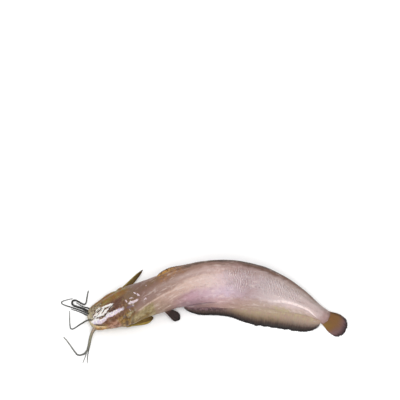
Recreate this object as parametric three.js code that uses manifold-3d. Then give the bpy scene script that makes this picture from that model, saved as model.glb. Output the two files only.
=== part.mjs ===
// A whole raw catfish, lying on a surface as a limp fish does: the broad flat head rests on its
// underside, and the deep thin tail has fallen over on the right side.
//
// The fish is first described straight, in its own coordinates: s runs from the snout to the end of
// the tail fin, y is positive to the fish's left and z is positive towards its back. lay() then
// bends it along the curve of the backbone, rolls it, and sets it on the surface at z = 0.
// Millimetres, +Z up. The head points to -X and the left side faces -Y and up.

import * as THREE from "three";
import { mergeVertices } from "three/addons/utils/BufferGeometryUtils.js";
import Module from "manifold-3d";

const wasm = await Module();
wasm.setup();

// Driving dimensions.
const TOTAL_LENGTH = 400; // snout to the end of the tail fin
const BODY_END = 371; // the flesh ends here, inside the root of the tail fin
const SNOUT_ROUNDING = 9; // length over which the blunt snout rounds off
const TAIL_ROUNDING = 5;
const SETTLE = 1.4; // how far soft flesh flattens where it rests
const GAP = 0.3; // clearance between two pieces that grow from each other
const CENTRE = new THREE.Vector2(169.3, 24.1); // middle of the laid fish's footprint

// Half width, height of the back above the backbone line, and depth of the belly below it.
const GIRTH = [
  // s, half width, back, belly
  [0, 15, 7.5, 6.5],
  [12, 21.5, 10, 8],
  [25, 25.8, 13, 10],
  [40, 28.8, 16.3, 13],
  [55, 30.2, 19.3, 16.5],
  [68, 29.5, 21.6, 19.5],
  [85, 27.5, 24, 24],
  [110, 26.5, 26, 27.5],
  [128, 25.7, 27, 27.2],
  [145, 25, 28, 30],
  [185, 23, 31, 32.5],
  [225, 20, 32.5, 33.5],
  [262, 16.5, 31.5, 31],
  [295, 12.5, 26.1, 25.5],
  [322, 9, 19.6, 18.8],
  [345, 6.4, 13, 13.2],
  [362, 4.6, 10.8, 10.6],
  [385, 2.2, 8, 8],
  [400, 1.2, 4, 4],
];

// Heading of the backbone over the surface, and roll towards the fish's right side, in degrees.
const POSE = [
  // s, heading, roll
  [0, 15, 15],
  [60, 18.5, 19],
  [100, 19.5, 33],
  [135, 18, 48],
  [165, 11, 57],
  [200, 0.5, 61],
  [250, -11, 66],
  [300, -20, 71],
  [345, -30, 77],
  [372, -34.5, 80],
  [400, -40, 82],
];

// Smooth curve through a table's rows: a cubic between each pair, with the slopes of its neighbours.
function smooth(table, column, at) {
  const last = table.length - 1;
  const clamped = THREE.MathUtils.clamp(at, table[0][0], table[last][0]);
  const found = table.findIndex((row) => row[0] >= clamped);
  const i = Math.max(found, 1);
  const slope = (k) => {
    const before = table[Math.max(k - 1, 0)];
    const after = table[Math.min(k + 1, last)];
    return (after[column] - before[column]) / (after[0] - before[0]);
  };
  const [from, to] = [table[i - 1], table[i]];
  const step = to[0] - from[0];
  const t = (clamped - from[0]) / step;
  return (
    (2 * t ** 3 - 3 * t ** 2 + 1) * from[column] +
    (t ** 3 - 2 * t ** 2 + t) * step * slope(i - 1) +
    (3 * t ** 2 - 2 * t ** 3) * to[column] +
    (t ** 3 - t ** 2) * step * slope(i)
  );
}

// Quarter-ellipse fade from 0 at an end to 1 once `length` inside it.
function rounding(distance, length) {
  const inside = THREE.MathUtils.clamp(distance / length, 0, 1);
  return Math.sqrt(1 - (1 - inside) ** 2);
}

// The head is boxy and flat on top, the trunk an ellipse.
function squareness(s) {
  return THREE.MathUtils.lerp(2.7, 2.1, THREE.MathUtils.smoothstep(s, 40, 110));
}

// Point on the body's skin at an angle round the section: 0 is the left side, 90 degrees the back.
function skin(s, angle, grown = 0) {
  const power = 2 / squareness(s);
  const [c, d] = [Math.cos(angle), Math.sin(angle)];
  const width = smooth(GIRTH, 1, s) + grown;
  const height = smooth(GIRTH, d > 0 ? 2 : 3, s) + grown;
  return {
    y: width * Math.sign(c) * Math.abs(c) ** power,
    z: height * Math.sign(d) * Math.abs(d) ** power,
  };
}

// The backbone's place, one entry per millimetre, found by following the heading.
const SPINE = [];
for (let s = 0, x = 0, y = 12.7; s <= TOTAL_LENGTH; s += 1) {
  const heading = THREE.MathUtils.degToRad(smooth(POSE, 1, s));
  const roll = THREE.MathUtils.degToRad(smooth(POSE, 2, s));
  let lowest = 0;
  for (let k = 0; k < 72; k += 1) {
    const p = skin(s, (k * Math.PI) / 36);
    lowest = Math.min(lowest, p.y * Math.sin(roll) + p.z * Math.cos(roll));
  }
  SPINE.push({ x, y, z: -lowest - SETTLE * Math.min(1, -lowest / 12), heading, roll });
  x += Math.cos(heading);
  y += Math.sin(heading);
}

// Carries a point of the straight fish to its place on the surface.
function lay(s, y, z) {
  const inRange = THREE.MathUtils.clamp(s, 0, TOTAL_LENGTH - 0.001);
  const i = Math.floor(inRange);
  const t = inRange - i;
  const at = (key) => THREE.MathUtils.lerp(SPINE[i][key], SPINE[i + 1][key], t);
  const [heading, roll] = [at("heading"), at("roll")];
  const over = s - inRange;
  const sideways = -y * Math.cos(roll) + z * Math.sin(roll);
  return new THREE.Vector3(
    at("x") + over * Math.cos(heading) - sideways * Math.sin(heading) - CENTRE.x,
    at("y") + over * Math.sin(heading) + sideways * Math.cos(heading) - CENTRE.y,
    at("z") + y * Math.sin(roll) + z * Math.cos(roll),
  );
}

// Closed surface through rings of equally many points, with a fan over each end.
function loft(rings) {
  const around = rings[0].length;
  const points = rings.flat();
  const faces = [];
  for (let i = 0; i + 1 < rings.length; i += 1) {
    for (let k = 0; k < around; k += 1) {
      const [a, b] = [i * around + k, i * around + ((k + 1) % around)];
      faces.push(a, b, b + around, a, b + around, a + around);
    }
  }
  for (const [ring, start] of [[rings[0], 0], [rings.at(-1), points.length - around]]) {
    const middle = new THREE.Vector3();
    ring.forEach((p) => middle.addScaledVector(p, 1 / around));
    const hub = points.push(middle) - 1;
    for (let k = 0; k < around; k += 1) {
      const [a, b] = [start + k, start + ((k + 1) % around)];
      faces.push(...(start === 0 ? [b, a, hub] : [a, b, hub]));
    }
  }
  const geometry = new THREE.BufferGeometry().setFromPoints(points);
  geometry.setIndex(faces);
  return geometry;
}

// three.js geometry to a manifold-3d solid and back. An inside-out solid is turned round.
function toSolid(geometry) {
  const bare = geometry.clone();
  bare.deleteAttribute("normal");
  bare.deleteAttribute("uv");
  const merged = mergeVertices(bare, 1e-4);
  const triVerts = new Uint32Array(merged.index.array);
  const vertProperties = merged.attributes.position.array;
  const solid = new wasm.Manifold(new wasm.Mesh({ numProp: 3, vertProperties, triVerts }));
  if (solid.volume() > 0) return solid;
  triVerts.reverse();
  return new wasm.Manifold(new wasm.Mesh({ numProp: 3, vertProperties, triVerts }));
}

function toGeometry(solid) {
  const mesh = solid.getMesh();
  const geometry = new THREE.BufferGeometry();
  geometry.setAttribute("position", new THREE.BufferAttribute(mesh.vertProperties, 3));
  geometry.setIndex(new THREE.BufferAttribute(mesh.triVerts, 1));
  return geometry;
}

const fish = new THREE.Group();

function add(name, solid, colour, roughness) {
  const geometry = toGeometry(solid);
  geometry.computeVertexNormals();
  const material = new THREE.MeshStandardMaterial({ color: colour, roughness, metalness: 0 });
  const mesh = new THREE.Mesh(geometry, material);
  mesh.name = name;
  fish.add(mesh);
}

// ---- Body: head and trunk are one piece -------------------------------------------------------

function bodySolid(grown) {
  const around = 36;
  const rings = [];
  const stops = [0.25, 1, 2.2, 4, 6.5, 9.5];
  for (let s = 14; s < 72; s += 6) stops.push(s);
  for (let s = 74; s < 356; s += 9) stops.push(s);
  stops.push(356, 362, 366, 368.5, 370.2, 370.9);
  for (const s of stops) {
    const close = rounding(s, SNOUT_ROUNDING) * rounding(BODY_END - s, TAIL_ROUNDING);
    rings.push(
      Array.from({ length: around }, (_, k) => {
        const p = skin(s, (k * 2 * Math.PI) / around, grown);
        return lay(s, p.y * close, p.z * close);
      }),
    );
  }
  return toSolid(loft(rings));
}

// The surface it rests on flattens the soft underside.
const below = toSolid(new THREE.BoxGeometry(600, 400, 40).translate(0, 0, -20));

// Mouth slit: a thin crescent that follows the front of the snout, between upper and lower lip.
const MOUTH = { height: -1.2, gape: 1.3, depth: 5, corner: 17 };

function mouthSolid() {
  const rings = [];
  for (let k = 0; k <= 24; k += 1) {
    const swing = THREE.MathUtils.lerp(-0.5, 0.5, k / 24) * Math.PI;
    const inwards = Math.cos(swing) * 0.6 + 0.4;
    const ring = [];
    for (const [out, up] of [[1.15, -0.5], [1.15, 0.5], [0, 0.5], [0, -0.5]]) {
      const reach = out > 0 ? out : 1 - (MOUTH.depth * inwards) / MOUTH.corner;
      const s = MOUTH.corner * (1 - reach * Math.cos(swing));
      const y = 23.5 * reach * Math.sin(swing);
      ring.push(lay(s, y, MOUTH.height + up * MOUTH.gape));
    }
    rings.push(ring);
  }
  return toSolid(loft(rings));
}

// Eyes: small beads at the edge of the flat head, each in a socket.
const EYE = { s: 23, angle: 70, radius: 2.4, sunk: 1.1 };

function eyeSolid(side, radius) {
  const angle = THREE.MathUtils.degToRad(EYE.angle);
  const p = skin(EYE.s, angle, -EYE.sunk);
  const centre = lay(EYE.s, side * p.y, p.z);
  return toSolid(new THREE.SphereGeometry(radius, 14, 10).translate(...centre.toArray()));
}

const grownBody = bodySolid(GAP);
let body = bodySolid(0).subtract(below).subtract(mouthSolid());
for (const side of [1, -1]) body = body.subtract(eyeSolid(side, EYE.radius + GAP));
add("body", body, "#b79b8e", 0.3);
add("left_eye", eyeSolid(1, EYE.radius), "#2a1c14", 0.15);
add("right_eye", eyeSolid(-1, EYE.radius), "#2a1c14", 0.15);

// ---- Long fins along the back and the belly ---------------------------------------------------

// Limp fins lie flat where they reach the surface: lifts the two sides of an edge clear together.
function settle(a, b) {
  const lift = Math.max(0, 0.05 - Math.min(a.z, b.z));
  a.z += lift;
  b.z += lift;
  return [a, b];
}

// A fin that runs along the body: root and rim are points of the section at each s, and the rim
// trails back by `rake` of the fin's height.
function ribbon(from, to, steps, rootAt, rimAt, rake, thick) {
  const rings = [];
  for (let k = 0; k <= steps; k += 1) {
    const s = THREE.MathUtils.lerp(from, to, k / steps);
    const [root, rim] = [rootAt(s), rimAt(s)];
    const span = Math.hypot(rim.y - root.y, rim.z - root.z);
    const side = { y: -(rim.z - root.z) / span, z: (rim.y - root.y) / span };
    const corner = (p, back, half) => lay(s + back, p.y + side.y * half, p.z + side.z * half);
    const [base, edge] = [thick[0] / 2, thick[1] / 2];
    const back = rake * span;
    const outer = settle(corner(rim, back, edge), corner(rim, back, -edge));
    rings.push([corner(root, 0, base), ...outer, corner(root, 0, -base)]);
  }
  return toSolid(loft(rings)).subtract(grownBody).subtract(below);
}

// Height of a long fin: it rises over a short stretch in front and ends in a rounded lobe.
function finHeight(s, from, to, height, rise, lobe) {
  return height * rounding(s - from + 1, rise) * rounding(to - s + 1, lobe);
}

const DORSAL = { from: 112, to: 354, height: 12.5, rise: 40, lobe: 60, fold: [64, 84, 96], rake: 0.2 };

function dorsalSolid() {
  const root = (s) => ({ y: 0, z: smooth(GIRTH, 2, s) - 3 });
  const rim = (s) => {
    // The front of the fin stands a little, and the rest has folded over to the right side.
    const [front, middle, rear] = DORSAL.fold;
    const folded = THREE.MathUtils.lerp(front, middle, THREE.MathUtils.smoothstep(s, 112, 157));
    const last = THREE.MathUtils.lerp(folded, rear, THREE.MathUtils.smoothstep(s, 190, 310));
    const fold = THREE.MathUtils.degToRad(last);
    const height = 3 + finHeight(s, DORSAL.from, DORSAL.to, DORSAL.height, DORSAL.rise, DORSAL.lobe);
    const base = root(s);
    return { y: base.y - height * Math.sin(fold), z: base.z + 1.5 + height * Math.cos(fold) };
  };
  return ribbon(DORSAL.from, DORSAL.to, 44, root, rim, DORSAL.rake, [3, 1.4]);
}

const ANAL = { from: 139, to: 363, height: [16.5, 25.2], rise: 34, lobe: 36, rake: 0.2 };

function analSolid() {
  const root = (s) => ({ y: 0, z: 3 - smooth(GIRTH, 3, s) });
  const rim = (s) => {
    const full = THREE.MathUtils.lerp(...ANAL.height, THREE.MathUtils.smoothstep(s, 204, 262));
    const height = 3 + finHeight(s, ANAL.from, ANAL.to, full, ANAL.rise, ANAL.lobe);
    return { y: 1.5, z: root(s).z - height };
  };
  return ribbon(ANAL.from, ANAL.to, 40, root, rim, ANAL.rake, [3, 1.4]);
}

add("dorsal_fin", dorsalSolid(), "#6a5440", 0.4);
add("anal_fin", analSolid(), "#5f5550", 0.4);

// ---- Tail fin ---------------------------------------------------------------------------------

const TAIL = { from: 361, to: 402, halfHeight: 16, rootHalfHeight: 10, roundedTip: 12.5, lean: 2.2 };

function tailSolid() {
  const rings = [];
  const steps = 22;
  for (let k = 0; k <= steps; k += 1) {
    const t = Math.sin((k / steps) * Math.PI * 0.5);
    const s = THREE.MathUtils.lerp(TAIL.from, TAIL.to - 0.2, t);
    const spread = THREE.MathUtils.smoothstep(t, 0, 0.55);
    const wide = THREE.MathUtils.lerp(TAIL.rootHalfHeight, TAIL.halfHeight, spread);
    const half = wide * rounding(TAIL.to - s, TAIL.roundedTip);
    const thick = THREE.MathUtils.lerp(3, 1.3, t) / 2;
    const lean = TAIL.lean * t; // the lower lobe reaches a little further than the upper one
    rings.push([
      ...settle(lay(s + lean, -thick, -half), lay(s + lean, thick, -half)),
      ...settle(lay(s - lean, thick, half), lay(s - lean, -thick, half)),
    ]);
  }
  return toSolid(loft(rings)).subtract(grownBody).subtract(below);
}

add("caudal_fin", tailSolid(), "#84654a", 0.4);

// ---- Paired fins ------------------------------------------------------------------------------

// A flat paddle from a point on the body to a tip on the surface. The fin's plane holds `across`.
function paddle({ root, tip, across, halfWidth, narrow, taper, thick }) {
  const start = lay(...root);
  const end = new THREE.Vector3(tip[0] - CENTRE.x, tip[1] - CENTRE.y, tip[2]);
  const along = end.clone().sub(start);
  const length = along.length();
  along.normalize();
  const wide = new THREE.Vector3(...across);
  wide.addScaledVector(along, -wide.dot(along)).normalize();
  const normal = along.clone().cross(wide);
  const rings = [];
  for (let k = 0; k <= 14; k += 1) {
    const t = Math.sin((k / 14) * Math.PI * 0.5);
    const spread = THREE.MathUtils.smoothstep(t, 0, 0.75);
    const half = halfWidth * THREE.MathUtils.lerp(narrow, 1, spread) * rounding(1.02 - t, taper);
    const thin = (thick * THREE.MathUtils.lerp(1, 0.45, t)) / 2;
    const middle = start.clone().addScaledVector(along, t * length);
    const corner = (w, n) => middle.clone().addScaledVector(wide, w).addScaledVector(normal, n);
    rings.push([
      ...settle(corner(half, thin), corner(half, -thin)),
      ...settle(corner(-half, -thin), corner(-half, thin)),
    ]);
  }
  return toSolid(loft(rings)).subtract(grownBody).subtract(below);
}

const PAIRED_FINS = {
  left_pectoral_fin: {
    root: [49, 26, -9],
    tip: [95.4, 15.4, 9.5],
    across: [0.1, 0.5, 0.86],
    halfWidth: 8.4,
    narrow: 0.4,
    taper: 0.35,
    thick: 3.2,
  },
  right_pectoral_fin: {
    root: [47, -27, -9],
    tip: [79, 95.3, 2.6],
    across: [0.79, -0.61, 0.05],
    halfWidth: 4.3,
    narrow: 1.4,
    taper: 0.8,
    thick: 3.4,
  },
  left_pelvic_fin: {
    root: [111.5, 8, -23],
    tip: [134, 16, 1.8],
    across: [0.46, 0.88, 0],
    halfWidth: 7.6,
    narrow: 0.55,
    taper: 0.35,
    thick: 2.4,
  },
  right_pelvic_fin: {
    root: [131, -5, -26],
    tip: [150, 42, 1.7],
    across: [0.3, 0.95, 0],
    halfWidth: 4.5,
    narrow: 0.6,
    taper: 0.35,
    thick: 2,
  },
};

for (const [name, fin] of Object.entries(PAIRED_FINS)) {
  add(name, paddle(fin), name.includes("pelvic") ? "#3f3532" : "#8d7a35", 0.4);
}

// ---- Barbels ----------------------------------------------------------------------------------

// Four pairs of feelers, which lie where they fell. Each starts inside the lips or the chin at
// [s, y, z] of the straight fish, and then runs over the surface through [x, y] points, with a
// height of its own where a third number is given.
const BARBELS = {
  left_nasal_barbel: {
    root: [5, 6.5, 5.5],
    route: [
      [0.1, 10.8, 12], [-4.4, 12, 4.5], [-12.5, 8.3], [-19.8, 3], [-23.6, 1], [-26.3, 1.9],
      [-27.3, 6.1], [-28, 15.9], [-28.3, 30],
    ],
    thick: 1.2,
  },
  right_nasal_barbel: {
    root: [5, -6.5, 5.5],
    route: [
      [-0.7, 22.1, 9.5], [-5.1, 26.5, 3.2], [-10.3, 29.8], [-16.9, 32.4], [-23.5, 34.7], [-29.7, 37],
      [-36, 39.3], [-39.9, 41.6], [-40.1, 44.7], [-36, 46.6], [-29.7, 48.5], [-23.8, 49.9],
    ],
    thick: 1.2,
  },
  left_maxillary_barbel: {
    root: [6, 15.5, -1],
    route: [
      [6.5, -5.1, 9.5], [4.8, -8.3, 5.2], [2.9, -15.7, 4.2], [1.5, -23.7, 3.9], [-0.1, -30.9, 3.7],
      [-3.1, -36.4, 3.3], [-7.2, -39.2, 1.4], [-12, -40.5], [-15.9, -39.6], [-18.6, -36.5],
      [-27.2, -23.8], [-32.3, -16.5], [-36.8, -11.5],
    ],
    thick: 1.7,
  },
  right_maxillary_barbel: {
    root: [4, -15, -1],
    route: [
      [-1.3, 28.1, 4.6], [-5.9, 31.3, 2.4], [-11.7, 34.4], [-17.6, 36.5], [-22.8, 38.7], [-25, 42.4],
      [-23.8, 45.8], [-20.4, 46.8], [-16.1, 44.9], [-10.7, 41.7], [-6.8, 40.1], [-4.4, 42.8],
      [-3.2, 49.7], [-2.1, 57.9], [-1, 62.8],
    ],
    thick: 1.8,
  },
  left_outer_mandibular_barbel: {
    root: [11, 13, -6],
    route: [
      [7.5, -3.2, 1.4], [5.1, -9.4], [3.5, -16.6], [2.1, -24.7], [0.6, -32.7], [-0.6, -40.8],
      [-1.3, -53.7],
    ],
    thick: 1.15,
  },
  left_inner_mandibular_barbel: {
    root: [9, 7, -5],
    route: [
      [4.8, -2.6, 1.4], [2.6, -9.3], [1, -16.6], [-0.4, -24.7], [-2.1, -32.7], [-3.7, -40.8],
      [-7.8, -52.9],
    ],
    thick: 1.05,
  },
  right_inner_mandibular_barbel: {
    root: [9, -7, -5],
    route: [[-1.3, 22, 1.4], [-7.3, 25.3], [-13.9, 28.5], [-20.6, 31], [-26.4, 33]],
    thick: 1.05,
  },
  right_outer_mandibular_barbel: {
    root: [11, -11, -4],
    route: [[-0.3, 33.9, 1.6], [-5.9, 35.8], [-10.7, 38], [-15, 40.8], [-18.9, 43.1]],
    thick: 1.15,
  },
};
const TIP_THICKNESS = 0.45; // of a barbel, as a share of its root's

function barbelSolid({ root, route, thick }) {
  const steps = 26;
  const sides = 6;
  const points = route.map(([x, y, z], k) => {
    const share = (k + 1) / route.length;
    const radius = thick * THREE.MathUtils.lerp(1, TIP_THICKNESS, share);
    return new THREE.Vector3(x - CENTRE.x, y - CENTRE.y, z ?? radius + 0.05);
  });
  const curve = new THREE.CatmullRomCurve3([lay(...root), ...points]);
  const frames = curve.computeFrenetFrames(steps, false);
  const rings = [];
  for (let i = 0; i <= steps; i += 1) {
    const centre = curve.getPointAt(i / steps);
    const radius = thick * THREE.MathUtils.lerp(1, TIP_THICKNESS, i / steps);
    rings.push(
      Array.from({ length: sides }, (_, k) => {
        const turn = (k / sides) * 2 * Math.PI;
        return centre
          .clone()
          .addScaledVector(frames.normals[i], radius * Math.cos(turn))
          .addScaledVector(frames.binormals[i], radius * Math.sin(turn));
      }),
    );
  }
  return toSolid(loft(rings)).subtract(grownBody).subtract(below);
}

for (const [name, barbel] of Object.entries(BARBELS)) {
  add(name, barbelSolid(barbel), "#4a4638", 0.45);
}

export default fish;
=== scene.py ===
import math

import bmesh
import bpy
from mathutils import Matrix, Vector, noise


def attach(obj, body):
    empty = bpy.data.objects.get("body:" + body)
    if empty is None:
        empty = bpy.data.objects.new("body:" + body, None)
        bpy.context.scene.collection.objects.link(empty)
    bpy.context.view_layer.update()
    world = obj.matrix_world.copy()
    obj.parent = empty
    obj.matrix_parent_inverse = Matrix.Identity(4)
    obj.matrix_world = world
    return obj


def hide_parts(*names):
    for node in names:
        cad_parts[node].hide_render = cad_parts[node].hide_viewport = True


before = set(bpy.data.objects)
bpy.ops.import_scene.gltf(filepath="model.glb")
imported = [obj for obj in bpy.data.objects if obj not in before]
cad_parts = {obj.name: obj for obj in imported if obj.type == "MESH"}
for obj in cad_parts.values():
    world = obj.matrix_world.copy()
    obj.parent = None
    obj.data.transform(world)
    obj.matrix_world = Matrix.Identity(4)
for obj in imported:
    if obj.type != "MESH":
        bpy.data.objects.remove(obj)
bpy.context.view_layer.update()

# ---- Head and trunk ------------------------------------------------------------------------------
# One piece of flesh under wet skin without scales. It is shaped straight, in millimetres from the
# snout (s), to the fish's left (y) and towards its back (z), and then laid along the limp backbone:
# the flat head rests on its underside, and the deep tail has fallen over on the right side.
FISH_LENGTH = 400
FLESH_END = 371
SNOUT_ROUNDING, STUMP_ROUNDING = 9, 5
SETTLE = 1.4
FOOTPRINT_MIDDLE = (169.3, 24.1)
GIRTH = [  # s, half width, back above the backbone, belly below it
    (0, 15, 7.5, 6.5),
    (12, 21.5, 10, 8),
    (25, 25.8, 13, 10),
    (40, 28.8, 16.3, 13),
    (55, 30.2, 19.3, 16.5),
    (68, 29.5, 21.6, 19.5),
    (85, 27.5, 24, 24),
    (110, 26.5, 26, 27.5),
    (128, 25.7, 27, 27.2),
    (145, 25, 28, 30),
    (185, 23, 31, 32.5),
    (225, 20, 32.5, 33.5),
    (262, 16.5, 31.5, 31),
    (295, 12.5, 26.1, 25.5),
    (322, 9, 19.6, 18.8),
    (345, 6.4, 13, 13.2),
    (362, 4.6, 10.8, 10.6),
    (385, 2.2, 8, 8),
    (400, 1.2, 4, 4),
]
LIE = [  # s, heading of the backbone, roll towards the right side
    (0, 15, 15),
    (60, 18.5, 19),
    (100, 19.5, 33),
    (135, 18, 48),
    (165, 11, 57),
    (200, 0.5, 61),
    (250, -11, 66),
    (300, -20, 71),
    (345, -30, 77),
    (372, -34.5, 80),
    (400, -40, 82),
]


def between(low, high, share):
    return low + (high - low) * share


def ease(at, start, end):
    share = min(max((at - start) / (end - start), 0), 1)
    return share * share * (3 - 2 * share)


def hump(distance, width):
    return math.exp(-((distance / width) ** 2))


def rounding(distance, length):
    inside = min(max(distance / length, 0), 1)
    return math.sqrt(1 - (1 - inside) ** 2)


def follow(table, column, at):
    """Smooth curve through a table's rows, with each row's slope taken from its neighbours."""
    last = len(table) - 1
    at = min(max(at, table[0][0]), table[last][0])
    i = max(next(k for k, row in enumerate(table) if row[0] >= at), 1)

    def slope(k):
        before, after = table[max(k - 1, 0)], table[min(k + 1, last)]
        return (after[column] - before[column]) / (after[0] - before[0])

    start, end = table[i - 1], table[i]
    step = end[0] - start[0]
    t = (at - start[0]) / step
    return (
        (2 * t**3 - 3 * t**2 + 1) * start[column]
        + (t**3 - 2 * t**2 + t) * step * slope(i - 1)
        + (3 * t**2 - 2 * t**3) * end[column]
        + (t**3 - t**2) * step * slope(i)
    )


def section(s, angle, shrink=0):
    """Point of the skin round the section at s: angle 0 is the left side, 90 degrees the back."""
    power = 2 / between(2.7, 2.1, ease(s, 40, 110))
    across, up = math.cos(angle), math.sin(angle)
    width = follow(GIRTH, 1, s) - shrink
    height = follow(GIRTH, 2 if up > 0 else 3, s) - shrink
    return (
        width * math.copysign(abs(across) ** power, across),
        height * math.copysign(abs(up) ** power, up),
    )


SNOUT_Y = 12.7
SAMPLES_ROUND = 72
backbone = []
spot = [0, SNOUT_Y]
for s in range(FISH_LENGTH + 1):
    heading, roll = math.radians(follow(LIE, 1, s)), math.radians(follow(LIE, 2, s))
    depths = []
    for k in range(SAMPLES_ROUND):
        y, z = section(s, k * 2 * math.pi / SAMPLES_ROUND)
        depths.append(-y * math.sin(roll) - z * math.cos(roll))
    drop = max(depths)
    backbone.append((*spot, drop - SETTLE * min(1, drop / 12), heading, roll))
    spot[0] += math.cos(heading)
    spot[1] += math.sin(heading)


def lay(s, y, z):
    """Carries a point of the straight fish, in millimetres, to its place in metres."""
    inside = min(max(s, 0), FISH_LENGTH - 0.001)
    i = int(inside)
    x0, y0, z0, heading, roll = (
        between(low, high, inside - i) for low, high in zip(backbone[i], backbone[i + 1])
    )
    beyond = s - inside
    over = z * math.sin(roll) - y * math.cos(roll)
    return 0.001 * Vector((
        x0 + beyond * math.cos(heading) - over * math.sin(heading) - FOOTPRINT_MIDDLE[0],
        y0 + beyond * math.sin(heading) + over * math.cos(heading) - FOOTPRINT_MIDDLE[1],
        z0 + y * math.sin(roll) + z * math.cos(roll),
    ))


def press(point, height=0.0002):
    """Limp flesh flattens softly where it meets the surface."""
    point.z = 0.5 * (point.z + math.hypot(point.z, 2 * height))
    return point


def rolled(name, along, around, place):
    """A sheet rolled into a closed tube. place(u, v) gives a point for u along it and v round it,
    and the straight-fish numbers that the material reads."""
    shape = bmesh.new()
    marks = shape.verts.layers.float_vector.new("chart")
    bmesh.ops.create_grid(shape, x_segments=along, y_segments=around, size=1)
    for vert in shape.verts:
        vert.co, vert[marks] = place((vert.co.x + 1) / 2, (vert.co.y + 1) / 2)
    bmesh.ops.remove_doubles(shape, verts=shape.verts, dist=1e-6)
    ends = [edge for edge in shape.edges if edge.is_boundary]
    bmesh.ops.holes_fill(shape, edges=ends, sides=0)
    bmesh.ops.recalc_face_normals(shape, faces=shape.faces)
    for face in shape.faces:
        face.smooth = True
    mesh = bpy.data.meshes.new(name)
    shape.to_mesh(mesh)
    shape.free()
    piece = bpy.data.objects.new(name, mesh)
    bpy.context.collection.objects.link(piece)
    return piece


MOUTH_HEIGHT, MOUTH_CORNER = -1.2, 17
EYE_AT, EYE_ANGLE, EYE_RADIUS, EYE_SUNK = 23, 70, 2.4, 1.1
eye_y, eye_z = section(EYE_AT, math.radians(EYE_ANGLE), EYE_SUNK)
# Both run along the flank: s, and the tilt of the fold or the height of the lateral line.
REAR_FOLD = [(250, -38), (285, -26), (315, -15), (338, -18), (352, -34), (366, -52)]
LATERAL_LINE = [(70, 9), (110, 10.5), (200, 12.5), (260, 8), (330, 2), (371, 0)]


def head_relief(s, y, z, tilt):
    """How far the head's skin stands out (mm) from its plain form. tilt is 90 degrees on the back
    and -90 on the belly, on both sides."""
    side = abs(y)
    lift = z - MOUTH_HEIGHT + 1.6 * ease(s, 8, MOUTH_CORNER)
    lips = 1 - ease(s, MOUTH_CORNER - 2, MOUTH_CORNER + 2.5)
    out = lips * (
        0.9 * hump(lift - 2.5, 1.3) + 1.0 * hump(lift + 2.5, 1.4)
        - 2.4 * hump(lift, 0.8) - 0.6 * hump(lift - 4.9, 0.8) - 0.5 * hump(lift + 5, 0.8)
    )
    socket = math.dist((s, side, z), (EYE_AT, eye_y, eye_z))
    out += 0.6 * hump(socket - 3.2, 0.8) - 1.1 * hump(socket, 1.7)
    nostril = math.dist((s, side), (14, 9)) if z > 0 else 9
    out += 0.4 * hump(nostril - 1.7, 0.7) - 1.0 * hump(nostril, 0.9)
    # Skull: two dips along the middle, a ridge over each eye, and the nape's edge with its spur.
    skull = ease(tilt, 34, 55)
    out -= skull * 0.7 * hump(side, 2.2) * ease(s, 26, 31) * (1 - ease(s, 44, 50))
    out -= skull * 0.5 * hump(side, 1.8) * ease(s, 56, 59) * (1 - ease(s, 63, 67))
    out += skull * 0.6 * hump(side - 13 - 0.05 * s, 2.4) * ease(s, 21, 28) * (1 - ease(s, 58, 66))
    nape = 66 + 9 * hump(side, 5.5) - 4 * hump(side - 13, 5)
    out -= skull * 0.9 * ease(s, nape - 1.5, nape + 1.5) * (1 - ease(s, nape + 5, nape + 26))
    # Cheek muscle, the crease round it, and the gill cover with its free rear edge.
    out += 1.6 * hump(s - 38, 9.5) * hump(tilt - 14, 19)
    out -= 0.8 * hump(tilt - 47, 6) * ease(s, 24, 31) * (1 - ease(s, 54, 61))
    crease = ease(tilt, -34, -14) * (1 - ease(tilt, 34, 48))
    out -= 0.9 * crease * hump(s - 49.5 - 0.03 * tilt, 2.0)
    edge = 61.5 - 0.16 * max(0, 30 - tilt) - 0.12 * max(0, tilt - 30)
    cover = 1 - ease(tilt, 44, 58)
    out += cover * 1.2 * ease(s, edge - 10, edge - 4) * (1 - ease(s, edge - 0.9, edge + 0.9))
    out -= cover * 0.9 * hump(s - edge - 1.4, 1.5)
    out += 1.3 * hump(s - edge - 9, 6) * hump(tilt + 12, 20)
    # Folds of the gill membrane under the throat.
    throat = ease(-tilt, 24, 38) * (1 - ease(-tilt, 74, 86))
    throat *= ease(s, 24, 34) * (1 - ease(s, edge - 4, edge))
    out += throat * 0.4 * math.cos(2 * math.pi * (tilt / 8.5 + s / 60))
    return out


def trunk_relief(s, y, z, tilt):
    behind = ease(s, 70, 84)
    line = z - follow(LATERAL_LINE, 1, s)
    out = behind * (0.3 * hump(line, 0.7) - 0.5 * hump(line, 4))
    fold = tilt - follow(REAR_FOLD, 1, s)
    out += ease(s, 246, 285) * (0.7 * hump(fold, 8) - 0.9 * hump(fold + 15, 8))
    ridge, keel = hump(tilt - 90, 9), hump(tilt + 90, 11)
    out += 1.2 * ridge * ease(s, 108, 122) * (1 - ease(s, 200, 300))
    out += 4.2 * keel * ease(s, 139, 153) * (1 - ease(s, 354, 365))
    out += 1.2 * hump(s - 133, 3) * hump(tilt + 86, 6)
    soft = Vector((s / 26, y / 20, z / 20))
    return out + behind * 0.5 * noise.noise(soft) + 0.12 * behind * noise.noise(soft * 4)


SNOUT_RINGS, BODY_RINGS, STUMP_RINGS, SKIN_SIDES = 14, 250, 8, 200
stations = [SNOUT_ROUNDING * (1 - math.cos(math.pi / 2 * k / SNOUT_RINGS)) for k in range(SNOUT_RINGS)]
for k in range(BODY_RINGS + 1):
    share = k / BODY_RINGS
    spaced = 0.62 * share + 0.38 * share * share  # closer together on the head
    stations.append(between(SNOUT_ROUNDING, FLESH_END - STUMP_ROUNDING, spaced))
for k in range(1, STUMP_RINGS + 1):
    stations.append(FLESH_END - STUMP_ROUNDING * (1 - math.sin(math.pi / 2 * k / STUMP_RINGS)))


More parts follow.
